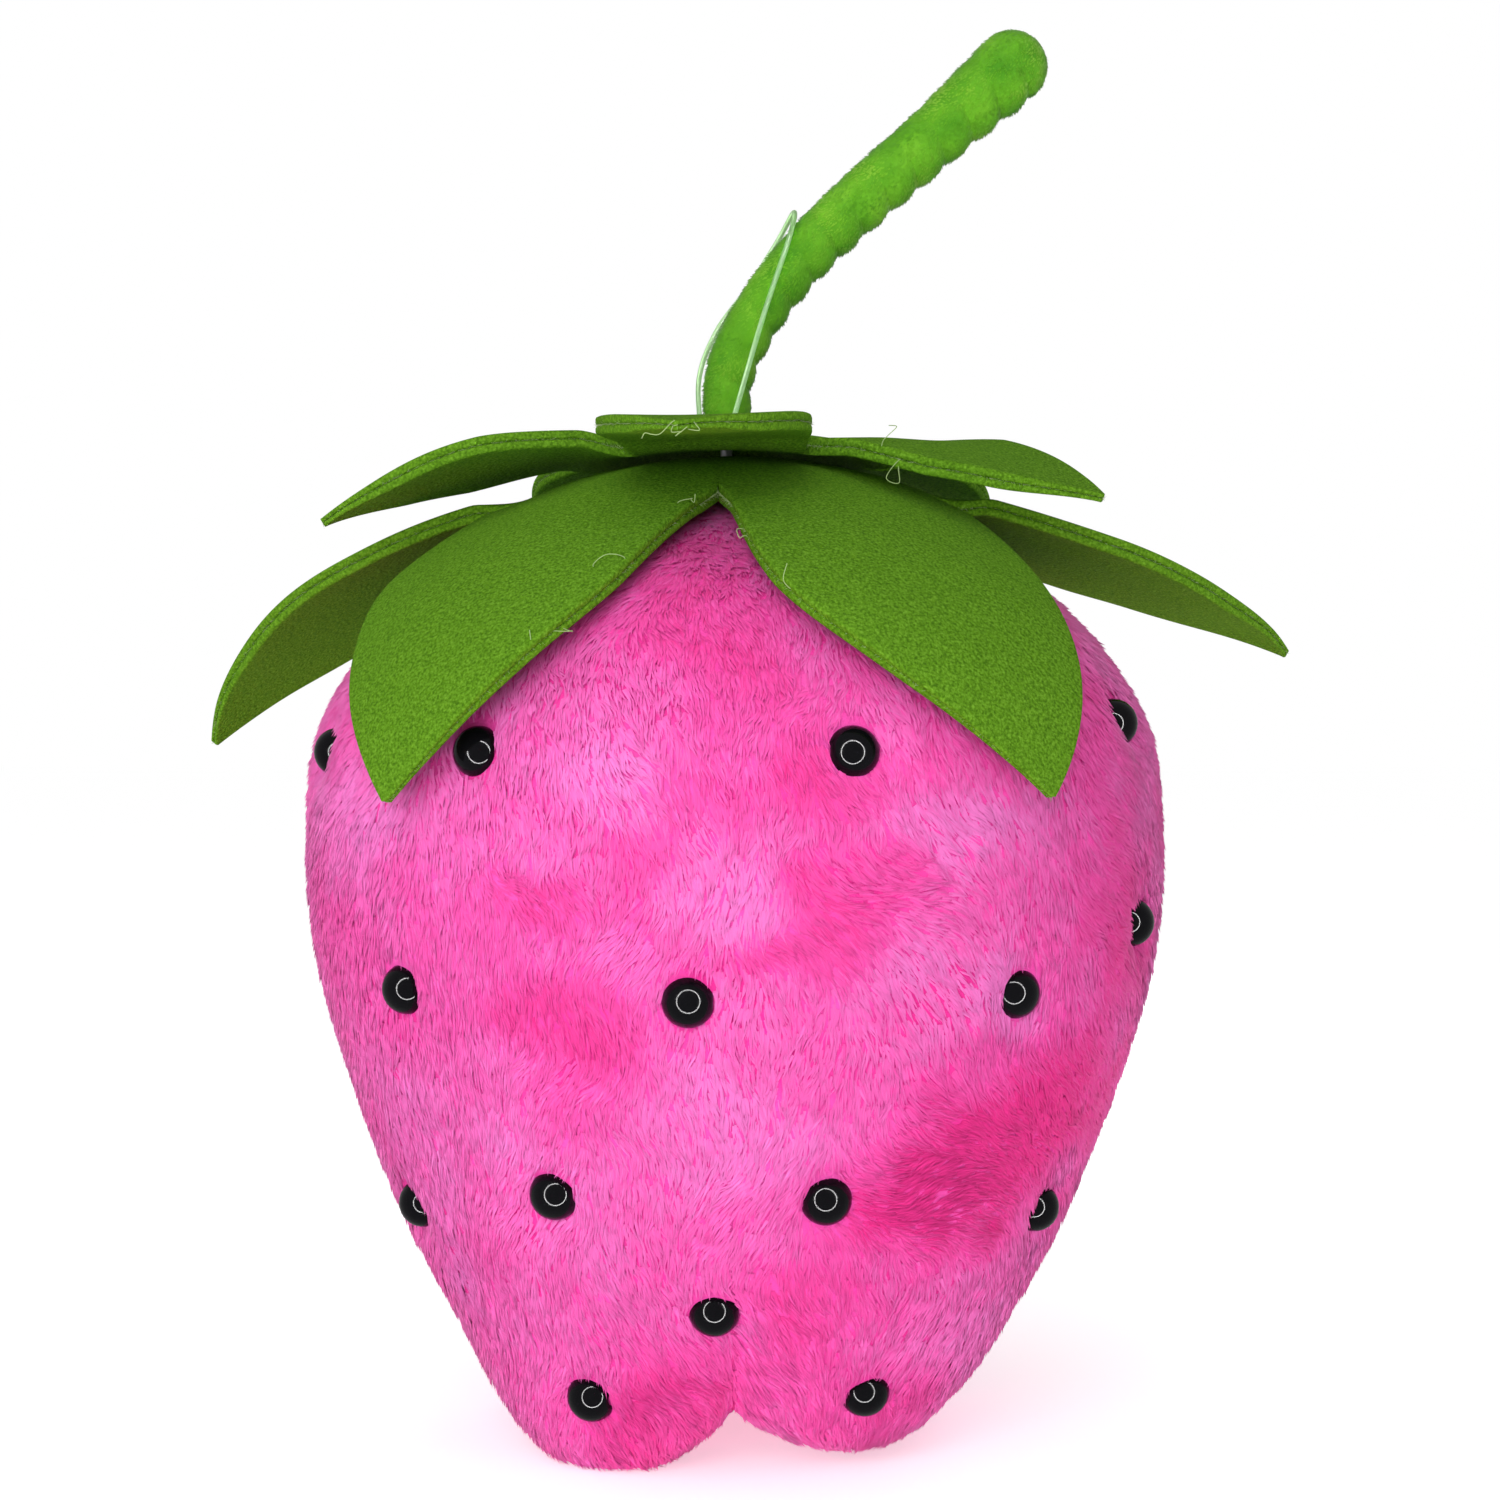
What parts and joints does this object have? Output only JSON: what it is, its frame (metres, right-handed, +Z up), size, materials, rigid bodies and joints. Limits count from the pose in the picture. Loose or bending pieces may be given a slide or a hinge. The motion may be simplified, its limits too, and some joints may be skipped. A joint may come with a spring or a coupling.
{
  "type": "strawberry pincushion",
  "caption": "Plush strawberry pincushion: stuffed gored cushion with bead seeds, two-layer felt calyx with flexing leaves, and a bendable wire stem.",
  "frame": {"origin": "on the surface that the cushion stands on, under the cushion's axis", "axes": "+Z up from the foot to the calyx and stem, -Y the front, +X the side that the stem leans to"},
  "size_m": [0.1347, 0.1017, 0.1632],
  "materials": {
    "plush": "short-pile plush, brushed, with lighter and darker patches where the pile lies different ways",
    "filling": "loose fibre",
    "bead": "polished",
    "felt": "pressed felt, two plies laminated",
    "stem_plush": "short-pile plush wound round a wire",
    "wire": "drawn wire",
    "nylon": "clear monofilament",
    "thread": "sewing thread",
    "glue": "set glue"
  },
  "bodies": {
    "cushion": {"gore_front_left": "plush", "gore_front_right": "plush", "gore_back_left": "plush", "gore_back_right": "plush", "fibre_filling": "filling", "bead_01": "bead", "bead_02": "bead", "bead_03": "bead", "bead_04": "bead", "bead_05": "bead", "bead_06": "bead", "bead_07": "bead", "bead_08": "bead", "bead_09": "bead", "bead_10": "bead", "bead_11": "bead", "bead_12": "bead", "bead_13": "bead", "bead_14": "bead", "bead_15": "bead", "bead_16": "bead", "bead_17": "bead", "bead_18": "bead", "bead_19": "bead", "bead_20": "bead", "bead_21": "bead", "bead_22": "bead", "bead_23": "bead", "bead_24": "bead", "bead_25": "bead", "bead_26": "bead", "bead_27": "bead", "bead_28": "bead", "bead_29": "bead", "bead_30": "bead", "bead_31": "bead", "bead_32": "bead", "neck_thread": "thread", "calyx_glue": "glue", "lower_calyx_centre": "felt", "upper_calyx_centre": "felt", "anchor_wire": "wire"},
    "stem_lower": {"stem_lower_cover": "stem_plush", "stem_lower_wire": "wire", "nylon_loop": "nylon"},
    "stem_upper": {"stem_upper_cover": "stem_plush", "stem_upper_wire": "wire"},
    "lower_leaf_front_left": {"lower_leaf_front_left": "felt"},
    "lower_leaf_front_right": {"lower_leaf_front_right": "felt"},
    "lower_leaf_right": {"lower_leaf_right": "felt"},
    "lower_leaf_back": {"lower_leaf_back": "felt"},
    "lower_leaf_left": {"lower_leaf_left": "felt"},
    "upper_leaf_front": {"upper_leaf_front": "felt"},
    "upper_leaf_right": {"upper_leaf_right": "felt"},
    "upper_leaf_back_right": {"upper_leaf_back_right": "felt"},
    "upper_leaf_back_left": {"upper_leaf_back_left": "felt"},
    "upper_leaf_left": {"upper_leaf_left": "felt"}
  },
  "joints": [
    {"name": "stem_lean", "type": "hinge", "parent": "cushion", "child": "stem_lower", "pos_m": [-0.001, 0, 0.1192], "axis": [0, 1, 0], "range_deg": [-15, 25]},
    {"name": "stem_bend", "type": "hinge", "parent": "stem_lower", "child": "stem_upper", "pos_m": [0.0153, 0, 0.144], "axis": [0, 1, 0], "range_deg": [-35, 35]},
    {"name": "lower_lift_front_left", "type": "hinge", "parent": "cushion", "child": "lower_leaf_front_left", "pos_m": [-0.01259, -0.01501, 0.1084], "axis": [-0.766, 0.6428, 0], "range_deg": [0, 6], "stiffness_Nm_per_rad": 0.03},
    {"name": "lower_lift_front_right", "type": "hinge", "parent": "cushion", "child": "lower_leaf_front_right", "pos_m": [0.01038, -0.01661, 0.1084], "axis": [-0.848, -0.5299, 0], "range_deg": [0, 6], "stiffness_Nm_per_rad": 0.03},
    {"name": "lower_lift_right", "type": "hinge", "parent": "cushion", "child": "lower_leaf_right", "pos_m": [0.01901, 0.00474, 0.1084], "axis": [0.2419, -0.9703, 0], "range_deg": [-10, 6], "stiffness_Nm_per_rad": 0.03},
    {"name": "lower_lift_back", "type": "hinge", "parent": "cushion", "child": "lower_leaf_back", "pos_m": [0.00137, 0.01954, 0.1084], "axis": [0.9976, -0.0698, 0], "range_deg": [0, 6], "stiffness_Nm_per_rad": 0.03},
    {"name": "lower_lift_left", "type": "hinge", "parent": "cushion", "child": "lower_leaf_left", "pos_m": [-0.01817, 0.00734, 0.1084], "axis": [0.3746, 0.9272, 0], "range_deg": [-8, 6], "stiffness_Nm_per_rad": 0.03},
    {"name": "upper_lift_front", "type": "hinge", "parent": "cushion", "child": "upper_leaf_front", "pos_m": [-0.0015, -0.01222, 0.1144], "axis": [-0.9925, 0.1219, 0], "range_deg": [-4, 30], "stiffness_Nm_per_rad": 0.03},
    {"name": "upper_lift_right", "type": "hinge", "parent": "cushion", "child": "upper_leaf_right", "pos_m": [0.01116, -0.0052, 0.1144], "axis": [-0.4226, -0.9063, 0], "range_deg": [-4, 30], "stiffness_Nm_per_rad": 0.03},
    {"name": "upper_lift_back_right", "type": "hinge", "parent": "cushion", "child": "upper_leaf_back_right", "pos_m": [0.0084, 0.009, 0.1144], "axis": [0.7314, -0.682, 0], "range_deg": [-4, 30], "stiffness_Nm_per_rad": 0.03},
    {"name": "upper_lift_back_left", "type": "hinge", "parent": "cushion", "child": "upper_leaf_back_left", "pos_m": [-0.00597, 0.01077, 0.1144], "axis": [0.8746, 0.4848, 0], "range_deg": [-4, 30], "stiffness_Nm_per_rad": 0.03},
    {"name": "upper_lift_left", "type": "hinge", "parent": "cushion", "child": "upper_leaf_left", "pos_m": [-0.01208, -0.00235, 0.1144], "axis": [-0.1908, 0.9816, 0], "range_deg": [-4, 30], "stiffness_Nm_per_rad": 0.03}
  ]
}
